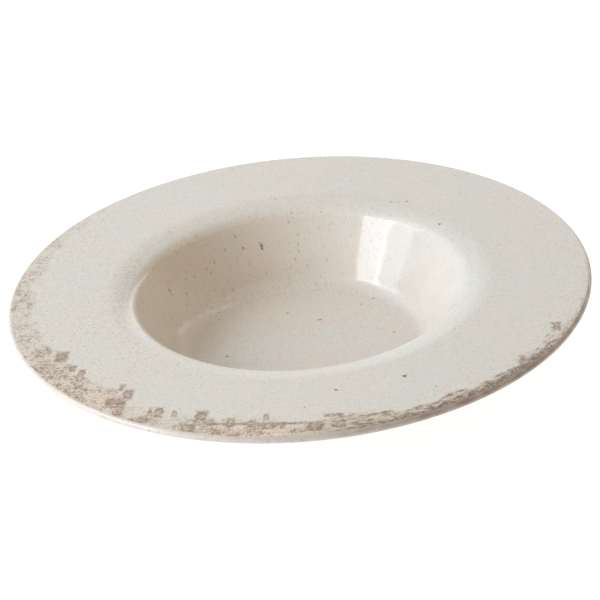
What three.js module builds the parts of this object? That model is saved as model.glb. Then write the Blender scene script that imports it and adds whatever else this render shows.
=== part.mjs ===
// Pasta plate: a round stoneware plate with a broad rim, a deep sloping well and a bare foot ring.
// The clay is one fired body. Four separate coats of glaze are fused to it: one over the well and
// the rim, one round the lip, one under the rim and well, and one on the base inside the foot ring.
// Units are millimetres, +Z is up, and the origin is the centre of the foot ring, on the table.

import * as THREE from "three";

// Driving dimensions of the finished plate
const RIM_DIAMETER = 280; // across the lip, over the glaze
const FLOOR_DIAMETER = 123; // where the wall would meet the well's floor if the corner were sharp
const WELL_DEPTH = 38.5; // from the level of the lip down to the glazed floor
const WALL_FLARE = 18.5; // the mouth of the well is this much wider than its floor, all round
const SHOULDER_WIDTH = 9.5; // the band round the mouth where the rim dips towards the well
const SHOULDER_DIP = 2.5; // how far that band falls on its way in
const RIM_RISE = 0.6; // the lip stands this much higher than the start of the dip

// Thickness of the clay
const LIP_CLAY = 2.3;
const RIM_ROOT_CLAY = 5.2; // where the rim starts to dip
const WALL_CLAY = 5;
const BASE_CLAY = 5.55;

// Foot ring
const FOOT_HEIGHT = 5;
const FOOT_WIDTH = 5;
const FOOT_SETBACK = 10; // from the heel corner of the well in to the outside of the foot ring

// Rounding of the section's corners
const FLOOR_FILLET = 11;
const MOUTH_FILLET = 7.5;
const SHOULDER_FILLET = 36;
const LIP_TOP_FILLET = 1.1;
const LIP_BOTTOM_FILLET = 1.1;
const UNDER_SHOULDER_FILLET = 7;
const HEEL_FILLET = 10;
const FOOT_ROOT_FILLET = 1.5;
const FOOT_EDGE_FILLET = 0.8;

// Thickness of each coat of glaze
const UPPER_GLAZE = 0.45;
const LIP_GLAZE = 0.35;
const UNDERSIDE_GLAZE = 0.35;
const BASE_GLAZE = 0.35;

// Fineness of the facets
const TURN_STEPS = 64; // round the axis
const CORNER_FACET = 2.6; // longest facet along a rounded corner
const LEAST_CORNER_STEPS = 2; // facets on the smallest corner
const FILLET_SHARE = 0.48; // most of an edge that one rounded corner may take

// Heights and radii of the clay body that follow from the sizes above
const baseUnder = FOOT_HEIGHT;
const floorTop = baseUnder + BASE_CLAY;
const lipTop = floorTop + UPPER_GLAZE + WELL_DEPTH - LIP_GLAZE;
const shoulderTop = lipTop - RIM_RISE;
const mouthTop = shoulderTop - SHOULDER_DIP;
const lipRadius = RIM_DIAMETER / 2 - LIP_GLAZE;
const floorRadius = FLOOR_DIAMETER / 2;
const mouthRadius = floorRadius + WALL_FLARE;
const shoulderRadius = mouthRadius + SHOULDER_WIDTH;

// The point where the line through a and b meets the line through c and d
function crossing(a, b, c, d) {
  const along = b.clone().sub(a);
  const across = d.clone().sub(c);
  const share = c.clone().sub(a).cross(across) / along.cross(across);
  return a.clone().addScaledVector(along, share);
}

// Corners of the clay section in the plane of radius and height, in order from the middle of the
// floor, out over the rim, round the lip and back underneath to the axis
function sectionCorners() {
  const at = (radius, height) => new THREE.Vector2(radius, height);
  const floorCorner = at(floorRadius, floorTop);
  const mouthCorner = at(mouthRadius, mouthTop);
  const lipUnder = at(lipRadius, lipTop - LIP_CLAY);
  const rimRootUnder = at(shoulderRadius, shoulderTop - RIM_ROOT_CLAY);

  // The outside of the well runs parallel to its wall, one wall thickness away
  const wall = mouthCorner.clone().sub(floorCorner).normalize();
  const outward = at(wall.y, -wall.x).multiplyScalar(WALL_CLAY);
  const outerLow = floorCorner.clone().add(outward);
  const outerHigh = mouthCorner.clone().add(outward);
  const underShoulder = crossing(outerLow, outerHigh, lipUnder, rimRootUnder);
  const heel = crossing(outerLow, outerHigh, at(0, baseUnder), at(lipRadius, baseUnder));
  const footOuter = heel.x - FOOT_SETBACK;
  const footInner = footOuter - FOOT_WIDTH;

  return [
    { point: at(0, floorTop), fillet: 0 },
    { point: floorCorner, fillet: FLOOR_FILLET },
    { point: mouthCorner, fillet: MOUTH_FILLET },
    { point: at(shoulderRadius, shoulderTop), fillet: SHOULDER_FILLET },
    { point: at(lipRadius, lipTop), fillet: LIP_TOP_FILLET },
    { point: lipUnder, fillet: LIP_BOTTOM_FILLET },
    { point: underShoulder, fillet: UNDER_SHOULDER_FILLET },
    { point: heel, fillet: HEEL_FILLET },
    { point: at(footOuter, baseUnder), fillet: FOOT_ROOT_FILLET },
    { point: at(footOuter, 0), fillet: FOOT_EDGE_FILLET },
    { point: at(footInner, 0), fillet: FOOT_EDGE_FILLET },
    { point: at(footInner, baseUnder), fillet: FOOT_ROOT_FILLET },
    { point: at(0, baseUnder), fillet: 0 },
  ];
}

// The arc that rounds one corner, touching the edges to the corners before and after it
function cornerArc(before, corner, after) {
  const back = before.point.clone().sub(corner.point);
  const on = after.point.clone().sub(corner.point);
  const shortest = Math.min(back.length(), on.length());
  back.normalize();
  on.normalize();
  const halfTurn = (Math.PI - Math.acos(back.dot(on))) / 2;
  const reach = Math.min(corner.fillet * Math.tan(halfTurn), FILLET_SHARE * shortest);
  const radius = reach / Math.tan(halfTurn);
  const middle = back.clone().add(on).normalize();
  const centre = corner.point.clone().addScaledVector(middle, Math.hypot(radius, reach));
  const start = corner.point.clone().addScaledVector(back, reach).sub(centre);
  const end = corner.point.clone().addScaledVector(on, reach).sub(centre);
  const clockwise = start.cross(end) < 0;
  return new THREE.EllipseCurve(
    centre.x, centre.y, radius, radius, start.angle(), end.angle(), clockwise,
  );
}

// The rounded section: arcs[i] rounds corner i, and edges[i] runs on from it to the next corner
function roundedSection(corners) {
  const last = corners.length - 1;
  const arcs = corners.map((corner, i) =>
    i > 0 && i < last ? cornerArc(corners[i - 1], corner, corners[i + 1]) : null,
  );
  const edges = corners.slice(0, last).map((corner, i) => {
    const from = i > 0 ? arcs[i].getPoint(1) : corner.point;
    const to = i + 1 < last ? arcs[i + 1].getPoint(0) : corners[last].point;
    return new THREE.LineCurve(from, to);
  });
  return { arcs, edges };
}

// Points along a chain of edges and arcs, each with the direction that faces away from the clay
function trace(chain) {
  const samples = [];
  chain.forEach((curve, c) => {
    const facets = Math.ceil(curve.getLength() / CORNER_FACET);
    const steps = curve.isEllipseCurve ? Math.max(LEAST_CORNER_STEPS, facets) : 1;
    for (let i = c > 0 ? 1 : 0; i <= steps; i += 1) {
      const tangent = curve.getTangent(i / steps);
      const away = new THREE.Vector2(-tangent.y, tangent.x);
      samples.push({ point: curve.getPoint(i / steps), away });
    }
  });
  return samples;
}

// A closed solid turned about the axis from a section in the plane of radius and height
function turned(points) {
  const section = THREE.ShapeUtils.area(points) < 0 ? [...points].reverse() : points;
  return new THREE.LatheGeometry(section, TURN_STEPS).rotateX(Math.PI / 2);
}

// A coat of even thickness over one stretch of the clay, which it touches all along
function coat(chain, thickness) {
  const samples = trace(chain);
  const clayFace = samples.map(({ point }) => point);
  const glazeFace = samples.map(({ point, away }) => point.clone().addScaledVector(away, thickness));
  const outline = [...clayFace, ...glazeFace.reverse()];
  const startsOnAxis = outline[0].x < Number.EPSILON;
  return turned(startsOnAxis ? outline : [...outline, outline[0]]);
}

const { arcs, edges } = roundedSection(sectionCorners());

// Edges of the section and the arcs between them, from the middle of the floor round to the base
const [
  floorEdge, wallEdge, dipEdge, rimEdge, lipEdge, underRimEdge, outerWallEdge, heelEdge,
  footOutside, footLand, footInside, baseEdge,
] = edges;
const [
  , floorArc, mouthArc, shoulderArc, lipTopArc, lipUnderArc, underShoulderArc, heelArc,
  outerRootArc, outerFootArc, innerFootArc, innerRootArc,
] = arcs;

// Stretches of the section that each coat lies on, and the bare foot between two of them
const upperStretch = [floorEdge, floorArc, wallEdge, mouthArc, dipEdge, shoulderArc, rimEdge];
const lipStretch = [lipTopArc, lipEdge, lipUnderArc];
const undersideStretch = [
  underRimEdge, underShoulderArc, outerWallEdge, heelArc, heelEdge, outerRootArc,
];
const bareFootStretch = [footOutside, outerFootArc, footLand, innerFootArc, footInside];
const baseStretch = [innerRootArc, baseEdge];
const claySection = [
  ...upperStretch, ...lipStretch, ...undersideStretch, ...bareFootStretch, ...baseStretch,
];

const pieces = [
  {
    name: "stoneware_body",
    geometry: turned(trace(claySection).map(({ point }) => point)),
    finish: { color: "#b39b80", roughness: 0.85 },
  },
  {
    name: "upper_glaze",
    geometry: coat(upperStretch, UPPER_GLAZE),
    finish: { color: "#ddd8ce", roughness: 0.15 },
  },
  {
    name: "lip_glaze",
    geometry: coat(lipStretch, LIP_GLAZE),
    finish: { color: "#a08c78", roughness: 0.3 },
  },
  {
    name: "underside_glaze",
    geometry: coat(undersideStretch, UNDERSIDE_GLAZE),
    finish: { color: "#d8d2c6", roughness: 0.2 },
  },
  {
    name: "base_glaze",
    geometry: coat(baseStretch, BASE_GLAZE),
    finish: { color: "#d3cbbd", roughness: 0.25 },
  },
];

const plate = new THREE.Group();
for (const { name, geometry, finish } of pieces) {
  const material = new THREE.MeshStandardMaterial({ ...finish, metalness: 0 });
  const mesh = new THREE.Mesh(geometry, material);
  mesh.name = name;
  plate.add(mesh);
}

export default plate;
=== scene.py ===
# Pasta plate in glazed stoneware: one fired clay body with four fused coats of glaze, standing on
# a pale table in soft studio light. Lengths are metres, +Z is up, the foot stands at the origin.

import math

import bpy
from mathutils import Matrix, Vector


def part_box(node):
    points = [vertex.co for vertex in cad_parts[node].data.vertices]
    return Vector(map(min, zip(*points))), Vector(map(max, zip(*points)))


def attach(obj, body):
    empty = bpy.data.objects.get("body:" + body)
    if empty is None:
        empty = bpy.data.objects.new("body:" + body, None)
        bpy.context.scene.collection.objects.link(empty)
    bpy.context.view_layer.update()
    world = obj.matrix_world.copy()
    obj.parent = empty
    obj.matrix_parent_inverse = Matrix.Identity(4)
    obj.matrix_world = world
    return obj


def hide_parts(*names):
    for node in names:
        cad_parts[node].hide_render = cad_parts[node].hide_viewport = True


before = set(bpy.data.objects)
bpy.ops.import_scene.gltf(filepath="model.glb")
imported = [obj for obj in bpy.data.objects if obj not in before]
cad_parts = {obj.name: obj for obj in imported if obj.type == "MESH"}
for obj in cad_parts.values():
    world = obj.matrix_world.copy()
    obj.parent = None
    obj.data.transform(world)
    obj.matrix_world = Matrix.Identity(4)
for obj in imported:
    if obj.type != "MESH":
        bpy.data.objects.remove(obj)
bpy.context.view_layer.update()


# Stoneware body
# One piece of buff stoneware, pressed on a turning mould and fired. A coat of glaze is fused to it
# everywhere but on the foot ring, whose ground land is the only clay that shows.
MM = 0.001
_, clay_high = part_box("stoneware_body")
lip_radius = clay_high.x
lip_top = clay_high.z
floor_radius = 61.5 * MM
floor_top = 10.55 * MM
wall_flare = 18.5 * MM
shoulder_width = 9.5 * MM
shoulder_dip = 2.5 * MM
rim_rise = 0.6 * MM
lip_clay = 2.3 * MM
rim_root_clay = 5.2 * MM
wall_clay = 5 * MM
base_under = 5 * MM
foot_setback = 10 * MM
foot_width = 5 * MM
floor_fillet = 11 * MM
mouth_fillet = 7.5 * MM
shoulder_fillet = 36 * MM
lip_fillet = 1.1 * MM
under_shoulder_fillet = 7 * MM
heel_fillet = 10 * MM
foot_root_fillet = 1.5 * MM
foot_edge_fillet = 0.8 * MM
arc_step = 0.8 * MM
least_arc_steps = 5
straight_step = 2.5 * MM
most_of_edge = 0.48
touching = 0.001 * MM
steps_round = 320
sharp_angle = math.radians(40)
waver = 0.12 * MM
waver_size = 70 * MM
waver_seed = 3.0
waver_starts = 0.5 * MM
waver_full = 12 * MM
clay_colour = (0.50, 0.39, 0.28, 1)
clay_dark = (0.33, 0.24, 0.16, 1)
ring_spacing = 0.9 * MM
ring_wobble = 3 * MM
grains_per_metre = 900.0


def line_crossing(a, b, c, d):
    """Where the line through a and b meets the line through c and d."""
    along = b - a
    across = d - c
    return a + along * ((c - a).cross(across) / along.cross(across))


def straight_span(start, end):
    """Points from start to end, each with the direction that faces away from the clay."""
    along = (end - start).normalized()
    away = Vector((-along.y, along.x))
    steps = max(1, math.ceil((end - start).length / straight_step))
    return [(start.lerp(end, i / steps), away) for i in range(steps + 1)]


def arc_span(before, corner, after, fillet):
    """The arc that rounds one corner of the section, as points with their away directions."""
    back = before - corner
    on = after - corner
    shortest = min(back.length, on.length)
    turn = math.pi - back.angle(on)
    reach = min(fillet * math.tan(turn / 2), most_of_edge * shortest)
    radius = reach / math.tan(turn / 2)
    middle = (back.normalized() + on.normalized()).normalized()
    centre = corner + middle * math.hypot(radius, reach)
    spoke = corner + back.normalized() * reach - centre
    left_turn = math.copysign(1, on.cross(back))
    steps = max(least_arc_steps, math.ceil(radius * turn / arc_step))
    span = []
    for i in range(steps + 1):
        swung = Matrix.Rotation(left_turn * turn * i / steps, 2) @ spoke
        span.append((centre + swung, swung.normalized() * -left_turn))
    return span


def rounded_spans(corners):
    """Straight edges and corner arcs in turn, all the way along the section."""
    spans = []
    start = corners[0][0]
    for (before, _), (corner, fillet), (after, _) in zip(corners, corners[1:], corners[2:]):
        arc = arc_span(before, corner, after, fillet)
        spans += [straight_span(start, arc[0][0]), arc]
        start = arc[-1][0]
    return spans + [straight_span(start, corners[-1][0])]


def joined(spans):
    """One run of points from spans that follow each other."""
    run = list(spans[0])
    for span in spans[1:]:
        run += span[1:]
    return run


shoulder_top = lip_top - rim_rise
floor_corner = Vector((floor_radius, floor_top))
mouth_corner = Vector((floor_radius + wall_flare, shoulder_top - shoulder_dip))
shoulder_corner = Vector((mouth_corner.x + shoulder_width, shoulder_top))
lip_under = Vector((lip_radius, lip_top - lip_clay))
rim_root_under = shoulder_corner - Vector((0, rim_root_clay))
wall_along = (mouth_corner - floor_corner).normalized()
wall_out = Vector((wall_along.y, -wall_along.x)) * wall_clay
outer_wall = (floor_corner + wall_out, mouth_corner + wall_out)
base_line = (Vector((0, base_under)), Vector((lip_radius, base_under)))
heel = line_crossing(*outer_wall, *base_line)
foot_outer = heel.x - foot_setback
foot_inner = foot_outer - foot_width
clay_spans = rounded_spans([
    (Vector((0, floor_top)), 0),
    (floor_corner, floor_fillet),
    (mouth_corner, mouth_fillet),
    (shoulder_corner, shoulder_fillet),
    (Vector((lip_radius, lip_top)), lip_fillet),
    (lip_under, lip_fillet),
    (line_crossing(*outer_wall, lip_under, rim_root_under), under_shoulder_fillet),
    (heel, heel_fillet),
    (Vector((foot_outer, base_under)), foot_root_fillet),
    (Vector((foot_outer, 0)), foot_edge_fillet),
    (Vector((foot_inner, 0)), foot_edge_fillet),
    (Vector((foot_inner, base_under)), foot_root_fillet),
    (Vector((0, base_under)), 0),
])

# Spans of the section, counted from the middle of the floor, where the lip and the bare foot begin
# and end
lip_start = 7
lip_end = 10
foot_start = 16
foot_end = 21


def add_node(tree, kind, **settings):
    """A node of the tree, with its settings."""
    made = tree.nodes.new(kind)
    for name, value in settings.items():
        setattr(made, name, value)
    return made


def put(tree, socket, value):
    """Joins another node's socket to this one, or sets a plain value on it."""
    if isinstance(value, bpy.types.NodeSocket):
        tree.links.new(value, socket)
    else:
        socket.default_value = value


def fill(tree, made, values):
    """Puts values on a node's inputs by name, and gives its first output if it has one."""
    for name, value in values.items():
        put(tree, made.inputs[name], value)
    return next(iter(made.outputs), None)


def calc(tree, operation, *values, kind="ShaderNodeMath"):
    """The result of one operation on one to three values."""
    made = add_node(tree, kind, operation=operation)
    for socket, value in zip(made.inputs, values):
        put(tree, socket, value)
    return made.outputs[0]


def ramp(tree, value, low, high, to_low=0.0, to_high=1.0):
    """A smooth step from to_low to to_high while the value goes from low to high."""
    made = add_node(tree, "ShaderNodeMapRange", interpolation_type="SMOOTHSTEP")
    for socket, given in zip(made.inputs, (value, low, high, to_low, to_high)):
        put(tree, socket, given)
    return made.outputs[0]


def blend(tree, share, first, second):
    """The first colour where the share is 0 and the second where it is 1."""
    made = add_node(tree, "ShaderNodeMix", data_type="RGBA")
    # This node keeps its colours in inputs 6 and 7 and in output 2, because other kinds come first
    for number, given in ((0, share), (6, first), (7, second)):
        put(tree, made.inputs[number], given)
    return made.outputs[2]


def noise(tree, place, scale, detail=2.0, output="Fac"):
    """Cloudy noise over a place, with a scale in cycles a metre."""
    made = add_node(tree, "ShaderNodeTexNoise")
    fill(tree, made, {"Vector": place, "Scale": scale, "Detail": detail})
    return made.outputs[output]


def wheel_tree():
    """Turns a run of section points about the axis into a closed shell, a little out of true."""
    tree = bpy.data.node_groups.new("turned on the wheel", "GeometryNodeTree")
    sockets = (
        ("Section", "NodeSocketGeometry"),
        ("Steps Round", "NodeSocketInt"),
        ("Waver", "NodeSocketFloat"),
        ("Waver Size", "NodeSocketFloat"),
        ("Seed", "NodeSocketFloat"),
        ("Finish", "NodeSocketMaterial"),
    )
    for name, kind in sockets:
        tree.interface.new_socket(name, in_out="INPUT", socket_type=kind)
    tree.interface.new_socket("Shell", in_out="OUTPUT", socket_type="NodeSocketGeometry")
    given = add_node(tree, "NodeGroupInput").outputs
    whole = "FunctionNodeIntegerMath"
    vector = "ShaderNodeVectorMath"

    # A sheet of points, with a column for each step round and a row for each point of the section
    counted = add_node(tree, "GeometryNodeAttributeDomainSize", component="MESH")
    rows = fill(tree, counted, {"Geometry": given["Section"]})
    columns = calc(tree, "ADD", given["Steps Round"], 1, kind=whole)
    grid = add_node(tree, "GeometryNodeMeshGrid")
    sheet = fill(tree, grid, {"Vertices X": columns, "Vertices Y": rows})
    index = add_node(tree, "GeometryNodeInputIndex").outputs[0]
    column = calc(tree, "DIVIDE", index, rows, kind=whole)
    row = calc(tree, "MODULO", index, rows, kind=whole)

    # Each column takes the section's points, swung round to its own angle
    place = add_node(tree, "GeometryNodeInputPosition").outputs[0]
    sampler = add_node(tree, "GeometryNodeSampleIndex", data_type="FLOAT_VECTOR", domain="POINT")
    on_section = fill(tree, sampler, {"Geometry": given["Section"], "Value": place, "Index": row})
    share = calc(tree, "DIVIDE", column, given["Steps Round"])
    angle = calc(tree, "MULTIPLY", share, -2 * math.pi)
    swing = add_node(tree, "ShaderNodeVectorRotate", rotation_type="Z_AXIS")
    swung = fill(tree, swing, {"Vector": on_section, "Angle": angle})
    placing = add_node(tree, "GeometryNodeSetPosition")
    placed = fill(tree, placing, {"Geometry": sheet, "Position": swung})
    merge = add_node(tree, "GeometryNodeMergeByDistance")
    closed = fill(tree, merge, {"Geometry": placed, "Distance": touching})

    # The waver of the wheel, which dies out towards the flat foot
    cloud = add_node(tree, "ShaderNodeTexNoise", noise_dimensions="4D")
    fineness = calc(tree, "DIVIDE", 1.0, given["Waver Size"])
    fill(tree, cloud, {"Vector": place, "W": given["Seed"], "Scale": fineness, "Detail": 1.0})
    centred = calc(tree, "SUBTRACT", cloud.outputs["Color"], (0.5, 0.5, 0.5), kind=vector)
    apart = add_node(tree, "ShaderNodeSeparateXYZ")
    fill(tree, apart, {"Vector": place})
    above_foot = ramp(tree, apart.outputs["Z"], waver_starts, waver_full)
    reach = calc(tree, "MULTIPLY", given["Waver"], above_foot)
    doubled = calc(tree, "MULTIPLY", reach, 2.0)
    scaling = add_node(tree, vector, operation="SCALE")
    drift = fill(tree, scaling, {"Vector": centred, "Scale": doubled})
    shifting = add_node(tree, "GeometryNodeSetPosition")
    shaped = fill(tree, shifting, {"Geometry": closed, "Offset": drift})

    # Smooth faces, with a true edge only where a coat ends
    bend = add_node(tree, "GeometryNodeInputMeshEdgeAngle").outputs["Unsigned Angle"]
    sharp = calc(tree, "GREATER_THAN", bend, sharp_angle)
    smoothing = add_node(tree, "GeometryNodeSetShadeSmooth", domain="FACE")
    even = fill(tree, smoothing, {"Geometry": shaped, "Shade Smooth": True})
    edging = add_node(tree, "GeometryNodeSetShadeSmooth", domain="EDGE")
    edged = fill(tree, edging, {"Geometry": even, "Selection": sharp, "Shade Smooth": False})
    real = fill(tree, add_node(tree, "GeometryNodeRealizeInstances"), {"Geometry": edged})
    finish = add_node(tree, "GeometryNodeSetMaterial")
    finished = fill(tree, finish, {"Geometry": real, "Material": given["Finish"]})
    fill(tree, add_node(tree, "NodeGroupOutput"), {"Shell": finished})
    return tree


wheel = wheel_tree()


def turn_piece(name, points, material):
    """A closed piece turned from the points of its section, as a plain mesh."""
    section = bpy.data.meshes.new(name + "_section")
    section.from_pydata([(point.x, 0, point.y) for point in points], [], [])
    piece = bpy.data.objects.new(name, section)
    bpy.context.scene.collection.objects.link(piece)
    turning = piece.modifiers.new("wheel", "NODES")
    turning.node_group = wheel
    settings = {
        "Steps Round": steps_round,
        "Waver": waver,
        "Waver Size": waver_size,
        "Seed": waver_seed,
        "Finish": material,
    }
    for item in wheel.interface.items_tree:
        if item.name in settings:
            turning[item.identifier] = settings[item.name]
    graph = bpy.context.evaluated_depsgraph_get()
    shell = bpy.data.meshes.new_from_object(piece.evaluated_get(graph), depsgraph=graph)
    piece.modifiers.remove(turning)
    piece.data = shell
    bpy.data.meshes.remove(section)
    shell.name = name
    return piece


def new_material(name, roughness):
    """A material with its Principled shader joined to the output."""
    material = bpy.data.materials.new(name)
    material.use_nodes = True
    tree = material.node_tree
    tree.nodes.clear()
    shader = add_node(tree, "ShaderNodeBsdfPrincipled")
    shader.inputs["Roughness"].default_value = roughness
    output = add_node(tree, "ShaderNodeOutputMaterial")
    tree.links.new(shader.outputs[0], output.inputs["Surface"])
    return material, tree, shader


def bare_clay():
    """Dry fired clay: fine rings from the wheel, clouds of tone and dark grains of grog."""
    material, tree, shader = new_material("bare fired clay", 0.85)
    place = add_node(tree, "ShaderNodeTexCoord").outputs["Object"]
    from_axis = calc(tree, "MULTIPLY", place, (1, 1, 0), kind="ShaderNodeVectorMath")
    length = add_node(tree, "ShaderNodeVectorMath", operation="LENGTH")
    fill(tree, length, {"Vector": from_axis})
    wobble = calc(tree, "MULTIPLY", noise(tree, place, 60), ring_wobble)
    across = calc(tree, "ADD", length.outputs["Value"], wobble)
    rings = calc(tree, "SINE", calc(tree, "MULTIPLY", across, 2 * math.pi / ring_spacing))
    cloud = noise(tree, place, 140, 6.0)
    grog = add_node(tree, "ShaderNodeTexVoronoi")
    fill(tree, grog, {"Vector": place, "Scale": grains_per_metre})
    grains = ramp(tree, grog.outputs["Distance"], 0.28, 0.12)
    tone = blend(tree, ramp(tree, cloud, 0.3, 0.75), clay_colour, clay_dark)
    grained = blend(tree, calc(tree, "MULTIPLY", grains, 0.5), tone, clay_dark)
    put(tree, shader.inputs["Base Color"], grained)
    put(tree, shader.inputs["Roughness"], ramp(tree, cloud, 0.2, 0.8, 0.75, 0.95))
    relief = calc(tree, "MULTIPLY_ADD", rings, 0.3, cloud)
    bump = add_node(tree, "ShaderNodeBump")
    fill(tree, bump, {"Height": relief, "Strength": 0.5, "Distance": 0.15 * MM})
    put(tree, shader.inputs["Normal"], bump.outputs[0])
    return material


clay_run = [point for point, _ in joined(clay_spans)]
turned_clay = turn_piece("turned_clay", clay_run, bare_clay())
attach(turned_clay, "root")
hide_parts("stoneware_body")


# Upper glaze
# The thick cream coat over the well and the top of the rim, poured on and fired glossy. Iron in it
# has made tiny pits and a few dark spots, and a brown cloth print shows through near the lip.
upper_thickness = 0.45 * MM
cream_cool = (0.69, 0.68, 0.615, 1)
cream_warm = (0.72, 0.675, 0.595, 1)
# Painted shade: the darker, warmer colour laid down in the well
painted_well_shade_colour = (0.70, 0.625, 0.555, 1)
# Painted highlight: the pale colour laid along the floor's corner at the back left
crease_highlight_colour = (0.86, 0.82, 0.76, 1)
iron_brown = (0.13, 0.095, 0.07, 1)
print_ground = (0.72, 0.575, 0.455, 1)
print_tan = (0.45, 0.32, 0.205, 1)
print_brown = (0.22, 0.145, 0.09, 1)
print_burnt = (0.155, 0.112, 0.078, 1)
pits_per_metre = 500.0
specks_per_metre = 145.0
rim_ends = 1.5 * MM
wall_starts = 6 * MM
well_shade_full = 10 * MM
floor_starts = 34 * MM
floor_full = 38 * MM
wall_grain = 0.32
floor_grain = 0.55


def coat_section(run, thickness_at_start, thickness_at_end):
    """Points round the section of a coat of glaze: out along its face and back along the clay."""
    last = len(run) - 1
    face = []
    for i, (point, away) in enumerate(run):
        thickness = thickness_at_start + (thickness_at_end - thickness_at_start) * i / last
        face.append(point + away * thickness)
    outline = face + [point for point, _ in reversed(run)]
    starts_on_axis = outline[0].x < touching
    ends_on_axis = run[-1][0].x < touching
    if ends_on_axis:
        return outline[last + 1:] + outline[:last + 1]
    return outline if starts_on_axis else outline + outline[:1]


def glaze_speckle():
    """Shared look of the fired glaze: drifting tint, tiny pits, iron specks and a rippled gloss."""
    tree = bpy.data.node_groups.new("glaze speckle", "ShaderNodeTree")
    for name in ("Cool Colour", "Warm Colour", "Speck Colour"):
        tree.interface.new_socket(name, in_out="INPUT", socket_type="NodeSocketColor")
    for name in ("Grain", "Pit Depth", "Speck Amount", "Smoothest", "Roughest"):
        tree.interface.new_socket(name, in_out="INPUT", socket_type="NodeSocketFloat")
    tree.interface.new_socket("Colour", in_out="OUTPUT", socket_type="NodeSocketColor")
    tree.interface.new_socket("Roughness", in_out="OUTPUT", socket_type="NodeSocketFloat")
    tree.interface.new_socket("Height", in_out="OUTPUT", socket_type="NodeSocketFloat")
    given = add_node(tree, "NodeGroupInput").outputs
    place = add_node(tree, "ShaderNodeTexCoord").outputs["Object"]

    # Tint that drifts over the plate, broken by a finer cloud and a fine grain
    drift = noise(tree, place, 30, 3.0)
    cloud = noise(tree, place, 150, 3.0)
    grain = noise(tree, place, 1300, 2.0)
    tint = calc(tree, "MULTIPLY_ADD", calc(tree, "SUBTRACT", cloud, 0.5), 0.9, drift)
    ground = blend(tree, ramp(tree, tint, 0.3, 0.7), given["Cool Colour"], given["Warm Colour"])
    mottle = noise(tree, place, 400, 2.0)
    mottled = blend(tree, ramp(tree, mottle, 0.45, 0.75, 0.0, 0.06), ground, given["Speck Colour"])
    grain_share = calc(tree, "MULTIPLY", ramp(tree, grain, 0.5, 0.8), given["Grain"])
    grained = blend(tree, grain_share, mottled, given["Speck Colour"])

    # Pits in cells about 2 mm wide, kept where a broad cloud and chance gather them, and drawn out
    # where the glaze ran down
    run_down = calc(tree, "MULTIPLY", place, (1, 1, 0.4), kind="ShaderNodeVectorMath")
    pits = add_node(tree, "ShaderNodeTexVoronoi")
    fill(tree, pits, {"Vector": run_down, "Scale": pits_per_metre})
    chance = add_node(tree, "ShaderNodeSeparateColor")
    fill(tree, chance, {"Color": pits.outputs["Color"]})
    pit_size = ramp(tree, chance.outputs["Red"], 0.0, 1.0, 0.16, 0.42)
    pit = ramp(tree, pits.outputs["Distance"], calc(tree, "MULTIPLY", pit_size, 1.2), 0.0)
    luckier = calc(tree, "MULTIPLY_ADD", noise(tree, place, 90, 2.0), 0.9, chance.outputs["Green"])
    pit = calc(tree, "MULTIPLY", pit, ramp(tree, luckier, 0.75, 1.4))

    # Specks of iron in cells about 7 mm wide, of which only a share is kept
    specks = add_node(tree, "ShaderNodeTexVoronoi")
    fill(tree, specks, {"Vector": run_down, "Scale": specks_per_metre})
    luck = add_node(tree, "ShaderNodeSeparateColor")
    fill(tree, luck, {"Color": specks.outputs["Color"]})
    speck_size = ramp(tree, luck.outputs["Red"], 0.0, 1.0, 0.04, 0.09)
    speck_core = calc(tree, "MULTIPLY", speck_size, 0.5)
    speck = ramp(tree, specks.outputs["Distance"], speck_size, speck_core)
    kept = calc(tree, "LESS_THAN", luck.outputs["Green"], given["Speck Amount"])
    speck = calc(tree, "MULTIPLY", speck, kept)

    # Colour, roughness and height of the whole: pits are dark, rough and sunk in a rippled surface
    pit_share = calc(tree, "MULTIPLY", pit, given["Pit Depth"])
    pitted = blend(tree, pit_share, grained, given["Speck Colour"])
    specked = blend(tree, calc(tree, "MULTIPLY", speck, 0.7), pitted, given["Speck Colour"])
    uneven = calc(tree, "MULTIPLY_ADD", pit, 0.3, cloud)
    rough = ramp(tree, uneven, 0.3, 0.9, given["Smoothest"], given["Roughest"])
    broad_ripple = noise(tree, place, 75, 1.0)
    ripple = calc(tree, "MULTIPLY_ADD", noise(tree, place, 330, 1.0), 0.25, broad_ripple)
    height = calc(tree, "MULTIPLY_ADD", pit, -0.25, ripple)
    finished = {"Colour": specked, "Roughness": rough, "Height": height}
    fill(tree, add_node(tree, "NodeGroupOutput"), finished)
    return tree


speckle = glaze_speckle()


def round_the_rim(tree, share, marks, top=1.0):
    """A value that follows (degrees, value) marks round the rim, from 0 to the top value."""
    made = add_node(tree, "ShaderNodeFloatCurve")
    curve = made.mapping.curves[0]
    curve.points[0].location = (0, marks[0][1] / top)
    curve.points[1].location = (1, marks[-1][1] / top)
    for degrees, value in marks[1:-1]:
        curve.points.new(degrees / 360, value / top)
    made.mapping.update()
    put(tree, made.inputs["Value"], share)
    return calc(tree, "MULTIPLY", made.outputs[0], top)


def way_round(tree, place):
    """Where a point lies: its share of the way round from +X, and its distance from the axis."""
    apart = add_node(tree, "ShaderNodeSeparateXYZ")
    fill(tree, apart, {"Vector": place})
    east, north = apart.outputs["X"], apart.outputs["Y"]
    turned = calc(tree, "MULTIPLY", calc(tree, "ARCTAN2", north, east), 0.5 / math.pi)
    share = calc(tree, "FRACT", calc(tree, "ADD", turned, 1.0))
    squared = calc(tree, "MULTIPLY_ADD", east, east, calc(tree, "MULTIPLY", north, north))
    return share, calc(tree, "SQRT", squared)


def shaken(tree, place, scale, reach):
    """A place moved about by noise, to make what is drawn there ragged."""
    vector = "ShaderNodeVectorMath"
    cloud = noise(tree, place, scale, 1.0, "Color")
    centred = calc(tree, "SUBTRACT", cloud, (0.5, 0.5, 0.5), kind=vector)
    scaling = add_node(tree, vector, operation="SCALE")
    drift = fill(tree, scaling, {"Vector": centred, "Scale": reach})
    return calc(tree, "ADD", place, drift, kind=vector)


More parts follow.
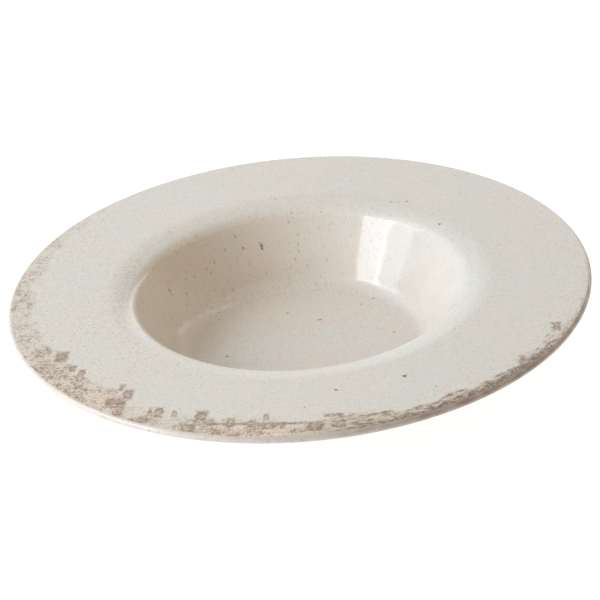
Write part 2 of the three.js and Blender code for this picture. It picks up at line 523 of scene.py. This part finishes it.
# The cloth lay a little askew. Where it touched hard it left blocks, given here in millimetres as
# their places to the right and to the back, their widths and their depths.
cloth_turn = math.radians(8)
cloth_blocks = (
    (-56, -125, 10, 4), (-29.5, -123, 5, 10), (-34, -131.5, 7, 7), (-21, -135.5, 4, 6),
    (-14, -138, 6, 3), (-66, -115, 3.5, 14), (-70, -110, 7, 6), (-68.5, -98, 2.5, 5),
    (-64.5, -104, 4.5, 8), (-101.5, -71, 6, 9), (-94, -81.5, 3, 5), (-89, -85, 3, 5),
    (-52.5, -117, 2, 5), (-48.5, -119, 4, 8), (-41.5, -120, 2, 5), (-7, -128.5, 46, 1.8),
    (-16.5, -127.5, 3, 7), (-7, -129, 3, 5), (0.5, -131, 6, 3), (-1.5, -123.5, 2.5, 4),
    (20, -131, 8, 7), (30, -129.5, 6, 6), (27, -122.5, 7.5, 2.5), (122, -52.5, 4, 7),
)
out_of_reach = 9.0
print_ragged_mm = 14.0
print_margin_mm = 1.5
print_fade = 4 * MM
stain_beyond = 4 * MM
stain_fade = 14 * MM
squiggle_width = 2.0 * MM
squiggle_depth = 2.6 * MM
loose_length = 4.5 * MM
loose_width = 1.2 * MM
streak_length = 5 * MM
streak_width = 1.9 * MM
lip_band = 5 * MM
lip_band_end = 0.3 * MM


def spread(tree, place, width, depth):
    """A place in plan, counted in steps of a width and a depth."""
    return calc(tree, "MULTIPLY", place, (1 / width, 1 / depth, 0), kind="ShaderNodeVectorMath")


def nearest_block(tree, cloth):
    """How far out a point lies in the nearest block of the print: 0 in its middle, 1 at its edge."""
    vector = "ShaderNodeVectorMath"
    nearest = out_of_reach
    for east, north, width, depth in cloth_blocks:
        offset = calc(tree, "SUBTRACT", cloth, (east * MM, north * MM, 0), kind=vector)
        halves = spread(tree, offset, width / 2 * MM, depth / 2 * MM)
        apart = add_node(tree, "ShaderNodeSeparateXYZ")
        fill(tree, apart, {"Vector": calc(tree, "ABSOLUTE", halves, kind=vector)})
        nearest = calc(tree, "MINIMUM", calc(tree, "MAXIMUM", *apart.outputs[0:2]), nearest)
    return nearest


def cloth_print():
    """Shared print of coarse cloth near the lip: squiggles at the left, blocks, then streaks."""
    tree = bpy.data.node_groups.new("cloth print", "ShaderNodeTree")
    for name in ("Glaze", "Ground", "Tan", "Brown", "Burnt"):
        tree.interface.new_socket(name, in_out="INPUT", socket_type="NodeSocketColor")
    tree.interface.new_socket("Colour", in_out="OUTPUT", socket_type="NodeSocketColor")
    given = add_node(tree, "NodeGroupInput").outputs
    place = add_node(tree, "ShaderNodeTexCoord").outputs["Object"]
    share, radius = way_round(tree, place)
    inset = calc(tree, "SUBTRACT", lip_radius, radius)
    turning = add_node(tree, "ShaderNodeVectorRotate", rotation_type="Z_AXIS")
    cloth = fill(tree, turning, {"Vector": place, "Angle": cloth_turn})

    # How far in the print reaches, how dense it is and how far it has run to streaks, by degrees
    reach = round_the_rim(tree, share, (
        (0, 3), (25, 1), (90, 0.5), (125, 2), (140, 5), (156, 8), (175, 11), (190, 12), (200, 13),
        (207, 16), (216, 14), (226, 16), (234, 10), (248, 13), (262, 14), (270, 11), (277, 13),
        (288, 9), (306, 7.5), (316, 8), (329, 7), (342, 4), (360, 3),
    ), top=24)
    density = round_the_rim(tree, share, (
        (0, 0.32), (20, 0.08), (90, 0.03), (130, 0.1), (145, 0.3), (165, 0.45), (186, 0.55),
        (207, 0.65), (226, 0.72), (238, 0.5), (255, 0.6), (270, 0.75), (280, 0.9), (292, 0.9),
        (306, 1.0), (316, 0.9), (329, 0.48), (345, 0.3), (360, 0.32),
    ))
    run = round_the_rim(tree, share, (
        (0, 0.9), (40, 0.5), (100, 0), (262, 0), (274, 0.6), (286, 1.0), (335, 1.0), (360, 0.9),
    ))
    clump = noise(tree, place, 150, 2.0)
    ragged = calc(tree, "MULTIPLY_ADD", calc(tree, "SUBTRACT", clump, 0.5), print_ragged_mm, reach)
    outer = calc(tree, "MULTIPLY", calc(tree, "ADD", ragged, print_margin_mm), MM)
    inner = calc(tree, "SUBTRACT", outer, print_fade)
    cover = calc(tree, "MULTIPLY", ramp(tree, inset, outer, inner), density)
    unrun = calc(tree, "MULTIPLY", cover, calc(tree, "SUBTRACT", 1.0, run))

    # Squiggles of single threads, thickest where they gathered, and loose threads between them
    grain = ramp(tree, noise(tree, place, 900, 2.0), 0.36, 0.58, 0.3, 1.0)
    bent = shaken(tree, cloth, scale=500, reach=1.6 * MM)
    cloud = noise(tree, spread(tree, bent, squiggle_width, squiggle_depth), 1.0, 1.0)
    from_middle = calc(tree, "ABSOLUTE", calc(tree, "SUBTRACT", cloud, 0.5))
    gathered = ramp(tree, noise(tree, place, 170, 2.0), 0.35, 0.68)
    thickness = calc(tree, "MULTIPLY_ADD", gathered, 0.11, 0.045)
    squiggle = ramp(tree, from_middle, thickness, calc(tree, "MULTIPLY", thickness, 0.35))
    squiggle = calc(tree, "MULTIPLY", squiggle, ramp(tree, gathered, 0.0, 1.0, 0.55, 1.0))
    least = calc(tree, "MULTIPLY_ADD", cover, -0.2, 0.72)
    loose = noise(tree, spread(tree, bent, loose_length, loose_width), 1.0, 2.0)
    loose = ramp(tree, loose, least, calc(tree, "ADD", least, 0.1))
    crossed = calc(tree, "MAXIMUM", squiggle, calc(tree, "MULTIPLY", loose, 0.8))
    thread = calc(tree, "MULTIPLY", crossed, unrun)
    tan_cloud = calc(tree, "MULTIPLY", gathered, unrun)

    # Blocks where the cloth touched hard, darkest round their edges
    from_block = nearest_block(tree, shaken(tree, cloth, scale=420, reach=2.4 * MM))
    block = ramp(tree, from_block, 1.4, 0.55)
    block_edge = calc(tree, "MULTIPLY", block, ramp(tree, from_block, 0.1, 0.8, 0.5, 1.0))
    broken = ramp(tree, noise(tree, cloth, 480, 2.0), 0.3, 0.55, 0.4, 1.0)
    block_edge = calc(tree, "MULTIPLY", block_edge, broken)

    # Streaks where the print has run along the lip, closing up towards it
    lengthwise = add_node(tree, "ShaderNodeCombineXYZ")
    fill(tree, lengthwise, {
        "X": calc(tree, "MULTIPLY", share, 2 * math.pi * lip_radius / streak_length),
        "Y": calc(tree, "MULTIPLY", radius, 1 / streak_width),
    })
    least = calc(tree, "MULTIPLY_ADD", cover, -0.34, 0.7)
    least = calc(tree, "SUBTRACT", least, ramp(tree, inset, lip_band, lip_band_end, 0.0, 0.3))
    drawn = noise(tree, lengthwise.outputs[0], 1.0, 3.0)
    in_print = calc(tree, "MULTIPLY", run, ramp(tree, cover, 0.0, 0.85))
    streak = ramp(tree, drawn, least, calc(tree, "ADD", least, 0.3))
    streak = calc(tree, "MULTIPLY", streak, in_print)
    smear = ramp(tree, drawn, calc(tree, "SUBTRACT", least, 0.2), calc(tree, "ADD", least, 0.1))
    smear = calc(tree, "MULTIPLY", smear, in_print)

    # A warm stain under it all, then the tan of each mark, then its brown
    stain_outer = calc(tree, "ADD", outer, stain_beyond)
    stain_inner = calc(tree, "SUBTRACT", stain_outer, stain_fade)
    wash = calc(tree, "MULTIPLY", ramp(tree, inset, stain_outer, stain_inner), density)
    wash = calc(tree, "MULTIPLY", wash, ramp(tree, run, 0.0, 1.0, 0.7, 0.4))
    stained = blend(tree, wash, given["Glaze"], given["Ground"])
    tan = calc(tree, "MAXIMUM", calc(tree, "MAXIMUM", tan_cloud, block), smear)
    tan = calc(tree, "MULTIPLY", tan, 0.6)
    tanned = blend(tree, calc(tree, "MULTIPLY", tan, grain), stained, given["Tan"])
    fine = calc(tree, "MULTIPLY", thread, grain)
    soft_grain = ramp(tree, grain, 0.3, 1.0, 0.55, 0.88)
    full = calc(tree, "MULTIPLY", calc(tree, "MAXIMUM", block_edge, streak), soft_grain)
    dark = calc(tree, "MAXIMUM", fine, full)
    darkest = blend(tree, run, given["Brown"], given["Burnt"])
    marked = blend(tree, dark, tanned, darkest)
    fill(tree, add_node(tree, "NodeGroupOutput"), {"Colour": marked})
    return tree


prints = cloth_print()

# Spots of iron: places to the right and to the back and radii in millimetres, then strengths
rim_spots = (
    (42, -99, 1.4, 0.85), (12, -105, 1.0, 0.8), (74, 45, 0.9, 0.8),
    (52, 74, 0.9, 0.6), (56, 73, 0.6, 0.5), (60, 73, 0.9, 0.6),
)
wall_spots = (
    (-17.5, 70, 1.3, 0.85), (-27, 67.5, 0.9, 0.5), (-65, 31, 0.8, 0.5), (-57, 38, 0.7, 0.45),
    (12, 62, 0.6, 0.4), (17, 57, 0.7, 0.4), (-34, 54, 0.7, 0.4),
)
floor_spots = (
    (31, 36, 1.2, 0.35), (38, 41, 1.0, 0.4), (9, 24, 1.5, 0.5),
    (45, 5, 1.4, 0.35), (-38, -4, 1.4, 0.5), (-7, 34, 1.1, 0.4),
)
spot_core = 0.4


def speckled(tree, cool, warm, grain, pit_depth, speck_amount, smoothest, roughest):
    """The shared glaze look placed in a material, with its own values."""
    made = add_node(tree, "ShaderNodeGroup", node_tree=speckle)
    fill(tree, made, {
        "Cool Colour": cool,
        "Warm Colour": warm,
        "Speck Colour": iron_brown,
        "Grain": grain,
        "Pit Depth": pit_depth,
        "Speck Amount": speck_amount,
        "Smoothest": smoothest,
        "Roughest": roughest,
    })
    return made.outputs


def printed(tree, glaze, ground):
    """The shared cloth print laid over a glaze colour."""
    made = add_node(tree, "ShaderNodeGroup", node_tree=prints)
    return fill(tree, made, {
        "Glaze": glaze,
        "Ground": ground,
        "Tan": print_tan,
        "Brown": print_brown,
        "Burnt": print_burnt,
    })


def gloss(tree, shader, look, colour, ripple):
    """Joins a glaze's colour, roughness and rippled surface to its shader."""
    put(tree, shader.inputs["Base Color"], colour)
    put(tree, shader.inputs["Roughness"], look["Roughness"])
    bump = add_node(tree, "ShaderNodeBump")
    fill(tree, bump, {"Height": look["Height"], "Distance": ripple})
    put(tree, shader.inputs["Normal"], bump.outputs[0])


# Painted highlight along the floor's corner: its half width, its core, and the depths over which it
# fades in
crease_highlight_half_width = 1.7 * MM
crease_highlight_core = 0.3 * MM
crease_highlight_top = 25 * MM
crease_highlight_bottom = 30 * MM


def painted_crease_highlight(tree, place, depth):
    """A ragged pale line painted along the corner of the floor at the back left: a painted highlight.
    """
    ragged = shaken(tree, place, scale=330, reach=2.5 * MM)
    share, radius = way_round(tree, ragged)
    line = round_the_rim(tree, share, (
        (0, 58), (122, 58.4), (132, 59), (141, 60.5), (150, 62), (160, 63), (170, 63.8), (360, 58),
    ), top=100)
    amount = round_the_rim(tree, share, (
        (0, 0), (110, 0), (122, 0.3), (136, 0.6), (150, 0.55), (158, 0.75), (165, 0.9), (171, 0),
        (360, 0),
    ))
    off_line = calc(tree, "SUBTRACT", radius, calc(tree, "MULTIPLY", line, MM))
    highlight_line = ramp(tree, calc(tree, "ABSOLUTE", off_line), crease_highlight_half_width, crease_highlight_core)
    broken = ramp(tree, noise(tree, place, 210, 2.0), 0.3, 0.6, 0.3, 1.0)
    amount = calc(tree, "MULTIPLY", amount, calc(tree, "MULTIPLY", highlight_line, broken))
    return calc(tree, "MULTIPLY", amount, ramp(tree, depth, crease_highlight_top, crease_highlight_bottom))


def cream_glaze():
    """The cream glaze of the upper side, with its cloth print and its iron spots."""
    material, tree, shader = new_material("cream glaze", 0.14)
    place = add_node(tree, "ShaderNodeTexCoord").outputs["Object"]
    apart = add_node(tree, "ShaderNodeSeparateXYZ")
    fill(tree, apart, {"Vector": place})
    depth = calc(tree, "SUBTRACT", lip_top, apart.outputs["Z"])
    share, _ = way_round(tree, place)

    # Grain and pits, which change round the rim and down into the well. On the rim they are real
    # marks, raised at the left as painted shade of fine bumps that the window lights at a graze
    rim_grain_and_shade = round_the_rim(tree, share, (
        (0, 0.36), (60, 0.26), (120, 0.3), (160, 0.55), (205, 0.6), (240, 0.4), (270, 0.28),
        (320, 0.36), (360, 0.36),
    ))
    rim_pits_and_shade = round_the_rim(tree, share, (
        (0, 0.1), (50, 0.1), (80, 0.22), (145, 0.25), (175, 0.32), (215, 0.32), (245, 0.22),
        (300, 0.1), (360, 0.1),
    ))
    well_pits = round_the_rim(tree, share, (
        (0, 0.2), (50, 0.25), (80, 0.6), (140, 0.55), (175, 0.35), (200, 0.3), (300, 0.3), (360, 0.2),
    ))
    pit_depth = ramp(tree, depth, rim_ends, wall_starts, rim_pits_and_shade, well_pits)
    grain = ramp(tree, depth, rim_ends, wall_starts, rim_grain_and_shade, wall_grain)
    grain = ramp(tree, depth, floor_starts, floor_full, grain, floor_grain)
    look = speckled(
        tree, cream_cool, cream_warm, grain, pit_depth=pit_depth, speck_amount=0.25, smoothest=0.08,
        roughest=0.18,
    )

    # Painted shade: a darker, warmer tone down in the well, patchy. Then the print near the lip and a
    # painted highlight along the floor's corner at the back left
    in_well = ramp(tree, depth, rim_ends, well_shade_full)
    patchy = ramp(tree, noise(tree, place, 35, 3.0), 0.25, 0.75, 0.2, 0.6)
    painted_well_shade = calc(tree, "MULTIPLY", in_well, patchy)
    colour = printed(tree, blend(tree, painted_well_shade, look["Colour"], painted_well_shade_colour), print_ground)
    colour = blend(tree, painted_crease_highlight(tree, place, depth), colour, crease_highlight_colour)

    # Ragged spots of iron, placed as seen from above
    ragged = shaken(tree, place, scale=700, reach=2.0 * MM)
    from_above = calc(tree, "MULTIPLY", ragged, (1, 1, 0), kind="ShaderNodeVectorMath")
    spotted = 0.0
    for east, north, radius, strength in rim_spots + wall_spots + floor_spots:
        gap = add_node(tree, "ShaderNodeVectorMath", operation="DISTANCE")
        for socket, given in zip(gap.inputs, (from_above, (east * MM, north * MM, 0))):
            put(tree, socket, given)
        core = radius * spot_core
        spot = ramp(tree, gap.outputs["Value"], radius * MM, core * MM, 0.0, strength)
        spotted = calc(tree, "MAXIMUM", spot, spotted)
    colour = blend(tree, spotted, colour, iron_brown)
    gloss(tree, shader, look, colour, ripple=0.12 * MM)
    return material


upper_run = joined(clay_spans[:lip_start])
upper_section = coat_section(upper_run, upper_thickness, upper_thickness)
cream_coat = turn_piece("cream_coat", upper_section, cream_glaze())
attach(cream_coat, "root")
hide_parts("upper_glaze")


# Lip glaze
# The coat round the lip, painted grey brown towards the right as painted shade, on the side away from
# the window. It joins the upper coat to the underside coat without a step.
under_thickness = 0.35 * MM
lip_pale = (0.70, 0.65, 0.59, 1)
lip_warm = (0.69, 0.61, 0.53, 1)
lip_painted_shade = (0.28, 0.235, 0.19, 1)
plain_grain = 0.24


def lip_glaze_with_painted_shade():
    """Glaze on the lip, pale at the left and in front, with painted grey-brown shade at the right."""
    material, tree, shader = new_material("lip glaze with painted shade", 0.2)
    look = speckled(
        tree, lip_pale, lip_warm, plain_grain, pit_depth=0.3, speck_amount=0.2, smoothest=0.14,
        roughest=0.3,
    )
    place = add_node(tree, "ShaderNodeTexCoord").outputs["Object"]
    share, _ = way_round(tree, place)
    # Painted shade: the share of grey brown round the lip, strongest at the front right, patchy, and
    # fuller towards the top of the lip
    darker_share = round_the_rim(tree, share, (
        (0, 0.75), (30, 0.5), (90, 0.3), (150, 0.2), (200, 0.1), (240, 0.12), (256, 0.25), (272, 0.5),
        (284, 0.8), (295, 1.0), (315, 1.0), (335, 0.9), (360, 0.75),
    ))
    patchy = ramp(tree, noise(tree, place, 160, 4.0), 0.3, 0.7, 0.65, 1.0)
    apart = add_node(tree, "ShaderNodeSeparateXYZ")
    fill(tree, apart, {"Vector": place})
    edge_low = lip_top - 1.8 * MM
    edge_high = lip_top - 0.2 * MM
    on_edge = ramp(tree, apart.outputs["Z"], edge_low, edge_high, 0.75, 1.0)
    darker_share = calc(tree, "MULTIPLY", darker_share, calc(tree, "MULTIPLY", patchy, on_edge))
    colour = blend(tree, darker_share, look["Colour"], lip_painted_shade)
    gloss(tree, shader, look, colour, ripple=0.08 * MM)
    return material


lip_run = joined(clay_spans[lip_start:lip_end])
lip_section = coat_section(lip_run, upper_thickness, under_thickness)
lip_coat = turn_piece("lip_coat", lip_section, lip_glaze_with_painted_shade())
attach(lip_coat, "root")
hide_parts("lip_glaze")


# Underside glaze
# The thinner cream coat under the rim and down the outside of the well. It stops at the top of the
# foot ring, where it thins to a toasted line.
under_cool = (0.64, 0.61, 0.56, 1)
under_warm = (0.68, 0.61, 0.52, 1)
toasted = (0.42, 0.27, 0.15, 1)
toast_top = 6.5 * MM
toast_bottom = 3.4 * MM
toast_uneven = 2 * MM


def satin_glaze(name, from_height, to_height):
    """Satin cream glaze that toasts brown as it thins from one height to the other."""
    material, tree, shader = new_material(name, 0.25)
    look = speckled(
        tree, under_cool, under_warm, plain_grain, pit_depth=0.4, speck_amount=0.3, smoothest=0.16,
        roughest=0.34,
    )
    place = add_node(tree, "ShaderNodeTexCoord").outputs["Object"]
    apart = add_node(tree, "ShaderNodeSeparateXYZ")
    fill(tree, apart, {"Vector": place})
    cloud = noise(tree, place, 130, 3.0)
    uneven = calc(tree, "MULTIPLY_ADD", cloud, toast_uneven, apart.outputs["Z"])
    raised = toast_uneven / 2
    darker_share = ramp(tree, uneven, from_height + raised, to_height + raised)
    colour = blend(tree, calc(tree, "MULTIPLY", darker_share, 0.8), look["Colour"], toasted)
    gloss(tree, shader, look, colour, ripple=0.06 * MM)
    return material


underside_run = joined(clay_spans[lip_end:foot_start])
underside_section = coat_section(underside_run, under_thickness, under_thickness)
underside_finish = satin_glaze("satin underside glaze", toast_top, toast_bottom)
underside_coat = turn_piece("underside_coat", underside_section, underside_finish)
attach(underside_coat, "root")
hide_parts("underside_glaze")


# Base glaze
# The coat on the base inside the foot ring, poured thin and swirled round before firing. The bare
# foot cuts it off from the other coats.
base_toast_top = 4.6 * MM
base_toast_bottom = 3.4 * MM
base_run = joined(clay_spans[foot_end:])
base_section = coat_section(base_run, under_thickness, under_thickness)
base_finish = satin_glaze("satin base glaze", base_toast_top, base_toast_bottom)
base_coat = turn_piece("base_coat", base_section, base_finish)
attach(base_coat, "root")
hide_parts("base_glaze")


# Table and studio
# A plain white table in a room with soft pale walls, a dim ceiling and a pale card low at the back
# right. A leaning window at the left has two panes and a bright post between them. The camera
# stands where the photograph was taken from.
table_mesh = bpy.data.meshes.new("table")
table_half = 4.0
table_signs = ((-1, -1), (1, -1), (1, 1), (-1, 1))
table_corners = [(table_half * east, table_half * north, 0) for east, north in table_signs]
table_mesh.from_pydata(table_corners, [], [(0, 1, 2, 3)])
table = bpy.data.objects.new("table", table_mesh)
bpy.context.scene.collection.objects.link(table)
white, white_tree, white_shader = new_material("white table", 0.6)
fill(white_tree, white_shader, {
    "Base Color": (0.35, 0.35, 0.35, 1),
    "Emission Color": (1, 1, 1, 1),
    "Emission Strength": 0.8,
    "Specular IOR Level": 0.1,
})
table_mesh.materials.append(white)

world = bpy.data.worlds.new("studio")
bpy.context.scene.world = world
world.use_nodes = True
sky = world.node_tree
sky.nodes.clear()
around = add_node(sky, "ShaderNodeTexCoord").outputs["Generated"]
toward = add_node(sky, "ShaderNodeSeparateXYZ")
fill(sky, toward, {"Vector": around})
east, north, height = toward.outputs[0:3]
flat = calc(sky, "MULTIPLY_ADD", east, east, calc(sky, "MULTIPLY", north, north))
flat = calc(sky, "MAXIMUM", flat, 0.0001)


def wall(value, sign):
    """Share of one wall in the light from a direction: full straight ahead, none square to it."""
    ahead = calc(sky, "MAXIMUM", calc(sky, "MULTIPLY", value, sign), 0.0)
    return calc(sky, "DIVIDE", calc(sky, "MULTIPLY", ahead, ahead), flat)


# Bands of height, which is 0 at the horizon and 1 overhead, and the walls all round
low = ramp(sky, height, 0.55, 0.38)
ceiling = ramp(sky, height, 0.72, 0.88)
under_ceiling = calc(sky, "SUBTRACT", 1.0, ceiling)
upper = calc(sky, "SUBTRACT", under_ceiling, low)
left_wall = wall(east, -1.0)
right_wall = wall(east, 1.0)
back_wall = wall(north, 1.0)
front_wall = wall(north, -1.0)
warm_door = calc(sky, "MULTIPLY", right_wall, right_wall)
card_turn = math.radians(60)
card_north = calc(sky, "MULTIPLY", north, math.sin(card_turn))
card_ahead = calc(sky, "MULTIPLY_ADD", east, math.cos(card_turn), card_north)
card_facing = calc(sky, "DIVIDE", card_ahead, calc(sky, "SQRT", flat))
card = ramp(sky, card_facing, 0.85, 0.97)
card_band = calc(sky, "MULTIPLY", ramp(sky, height, 0.14, 0.2), ramp(sky, height, 0.42, 0.34))
glow = (0, 0, 0)
for share, band, light in (
    (left_wall, low, (0.78, 0.84, 0.93)),
    (left_wall, upper, (1.80, 1.91, 2.06)),
    (back_wall, low, (0.96, 1.00, 1.04)),
    (back_wall, upper, (0.55, 0.58, 0.62)),
    (front_wall, low, (0.22, 0.19, 0.165)),
    (front_wall, upper, (0.88, 0.72, 0.60)),
    (right_wall, low, (0.14, 0.06, 0.0)),
    (right_wall, upper, (0.64, 0.56, 0.47)),
    (warm_door, under_ceiling, (0.36, 0.25, 0.13)),
    (card, card_band, (1.57, 1.58, 1.59)),
    (1.0, ceiling, (0.48, 0.47, 0.46)),
):
    lit = add_node(sky, "ShaderNodeVectorMath", operation="SCALE")
    lit = fill(sky, lit, {"Vector": light, "Scale": calc(sky, "MULTIPLY", share, band)})
    glow = calc(sky, "ADD", lit, glow, kind="ShaderNodeVectorMath")
backdrop = add_node(sky, "ShaderNodeBackground")
fill(sky, backdrop, {"Color": glow})
sky_out = add_node(sky, "ShaderNodeOutputWorld")
sky.links.new(backdrop.outputs[0], sky_out.inputs["Surface"])

window_lift = math.radians(26)
window_lean = math.radians(24)
window_height = 0.8
window_colour = (0.96, 1.03, 1.12)


def softbox(name, azimuth, distance, width, watts):
    """A soft rectangular lamp that leans and looks at the plate from one side."""
    lamp = bpy.data.lights.new(name, "AREA")
    lamp.shape = "RECTANGLE"
    lamp.size = width
    lamp.size_y = window_height
    lamp.energy = watts
    lamp.color = window_colour
    holder = bpy.data.objects.new(name, lamp)
    bpy.context.scene.collection.objects.link(holder)
    turn = math.radians(azimuth)
    level = math.cos(window_lift)
    away = Vector((math.cos(turn) * level, math.sin(turn) * level, math.sin(window_lift)))
    facing = away.to_track_quat("Z", "Y").to_matrix().to_4x4()
    leaning = Matrix.Rotation(window_lean, 4, "Z")
    holder.matrix_world = Matrix.Translation(away * distance) @ facing @ leaning


softbox("window, left pane", azimuth=204.5, distance=1.2, width=0.41, watts=5.6)
softbox("window, right pane", azimuth=182, distance=1.2, width=0.48, watts=2.6)
softbox("window, bright post", azimuth=193, distance=1.19, width=0.05, watts=0.45)

aim = Vector((0, 0, lip_top + under_thickness))
camera_distance = 0.84
camera_lift = math.radians(28.17)
camera_roll = math.radians(-5.17)
camera_tip = -0.0134
toward_camera = Vector((0, -math.cos(camera_lift), math.sin(camera_lift)))
level_up = Vector((1, 0, 0)).cross(-toward_camera)
forward = (level_up * camera_tip - toward_camera).normalized()
level_right = forward.cross(Vector((0, 0, 1))).normalized()
level_up = level_right.cross(forward)
right = level_right * math.cos(camera_roll) + level_up * math.sin(camera_roll)
up = level_up * math.cos(camera_roll) - level_right * math.sin(camera_roll)
lens = bpy.data.cameras.new("camera")
lens.lens = 104.3
lens.sensor_width = 36
camera = bpy.data.objects.new("camera", lens)
bpy.context.scene.collection.objects.link(camera)
facing = Matrix((right, up, -forward)).transposed().to_4x4()
camera.matrix_world = Matrix.Translation(aim + toward_camera * camera_distance) @ facing
bpy.context.scene.camera = camera
bpy.context.scene.view_settings.view_transform = "Standard"
